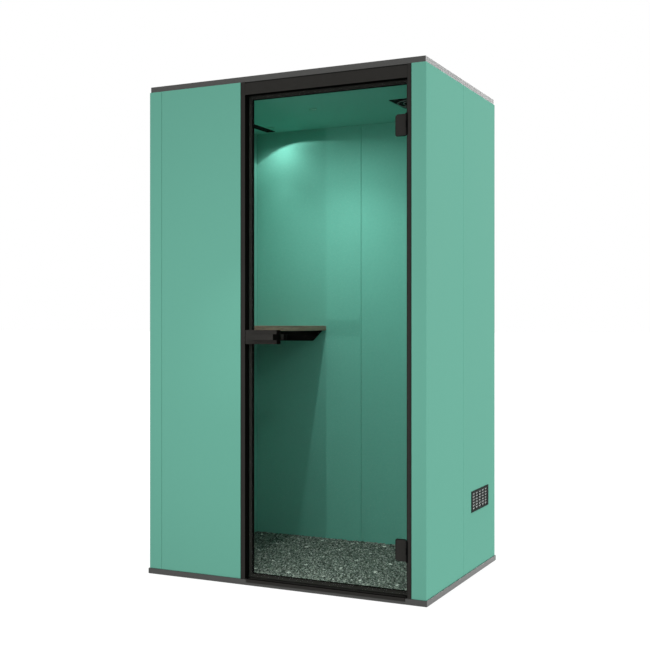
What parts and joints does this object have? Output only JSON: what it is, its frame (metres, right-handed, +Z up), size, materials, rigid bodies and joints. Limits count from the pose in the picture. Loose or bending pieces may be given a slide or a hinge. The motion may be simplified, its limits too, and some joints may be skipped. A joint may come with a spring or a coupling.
{
  "type": "acoustic office pod",
  "caption": "Personal acoustic cabin with felt-lined walls, an outward-swinging glass door with a lever lock, a standing desk, ceiling lights and fan ventilation.",
  "frame": {"origin": "on the floor, at the centre of the cabin's footprint, on the underside of the centre base strip", "axes": "+X to the right seen from the door, towards the hinges; +Y from the door to the back wall; +Z up"},
  "size_m": [1.399, 1.0248, 2.3],
  "materials": {
    "green_board": "matte",
    "green_felt": "matte",
    "wool_core": "matte",
    "charcoal_board": "matte",
    "black_aluminium": "satin",
    "green_aluminium": "matte",
    "black_steel": "satin",
    "bright_steel": "satin",
    "black_plastic": "matte",
    "rubber": "matte",
    "glass": "gloss",
    "walnut": "satin",
    "carpet": "matte",
    "plywood": "matte",
    "opal": "satin"
  },
  "bodies": {
    "root": {"base_strip_left": "rubber", "base_strip_centre": "rubber", "base_strip_right": "rubber", "plinth": "charcoal_board", "floor_deck": "plywood", "carpet": "carpet", "left_wall_board_front": "green_board", "left_wall_board_rear": "green_board", "left_wall_core": "wool_core", "left_wall_liner": "green_felt", "right_wall_board_front": "green_board", "right_wall_board_rear": "green_board", "right_wall_core": "wool_core", "right_wall_liner": "green_felt", "back_wall_board_left": "green_board", "back_wall_board_right": "green_board", "back_wall_core": "wool_core", "back_wall_liner_left": "green_felt", "back_wall_liner_right": "green_felt", "front_wall_board": "green_board", "front_wall_core": "wool_core", "front_wall_liner": "green_felt", "roof_slab": "charcoal_board", "ceiling_panel": "green_felt", "power_inlet": "black_plastic", "downlight_body_rear": "green_aluminium", "downlight_lens_rear": "opal", "downlight_body_front": "green_aluminium", "downlight_lens_front": "opal", "ceiling_air_slot": "black_plastic", "ceiling_grille": "black_plastic", "fan_housing": "black_plastic", "side_grille_outer": "black_aluminium", "side_grille_inner": "black_aluminium", "side_duct": "bright_steel", "left_jamb": "black_aluminium", "right_jamb": "black_aluminium", "header": "black_aluminium", "sill": "black_aluminium", "door_seal": "rubber", "strike_plate": "bright_steel", "lower_hinge_jamb_leaf": "black_steel", "upper_hinge_jamb_leaf": "black_steel", "desk_top": "walnut", "desk_bracket_rear": "black_steel", "desk_bracket_front": "black_steel"},
    "door": {"door_glass": "glass", "lower_hinge_outer_plate": "black_steel", "lower_hinge_inner_plate": "black_steel", "lower_hinge_pin": "bright_steel", "upper_hinge_outer_plate": "black_steel", "upper_hinge_inner_plate": "black_steel", "upper_hinge_pin": "bright_steel", "lock_outer_case": "black_aluminium", "lock_inner_case": "black_aluminium"},
    "lever": {"outer_lever": "black_aluminium", "inner_lever": "black_aluminium", "lever_spindle": "bright_steel"},
    "latch": {"latch_bolt": "bright_steel"},
    "fan": {"fan_rotor": "black_plastic"}
  },
  "joints": [
    {"name": "door_swing", "type": "hinge", "parent": "root", "child": "door", "pos_m": [0.605, -0.481, 1.122], "axis": [0, 0, 1], "range_deg": [0, 100]},
    {"name": "lever_turn", "type": "hinge", "parent": "door", "child": "lever", "pos_m": [-0.122, -0.462, 1.1215], "axis": [0, 1, 0], "range_deg": [0, 35], "stiffness_Nm_per_rad": 1.2, "springref_deg": -22.92},
    {"name": "latch_slide", "type": "slide", "parent": "door", "child": "latch", "axis": [1, 0, 0], "range_m": [0, 0.006]},
    {"name": "fan_spin", "type": "hinge", "parent": "root", "child": "fan", "pos_m": [0.465, 0.012, 2.25], "axis": [0, 0, 1], "continuous": true}
  ],
  "couplings": [
    {"joint": "latch_slide", "follows": "lever_turn", "m_per_rad": 0.0098}
  ]
}
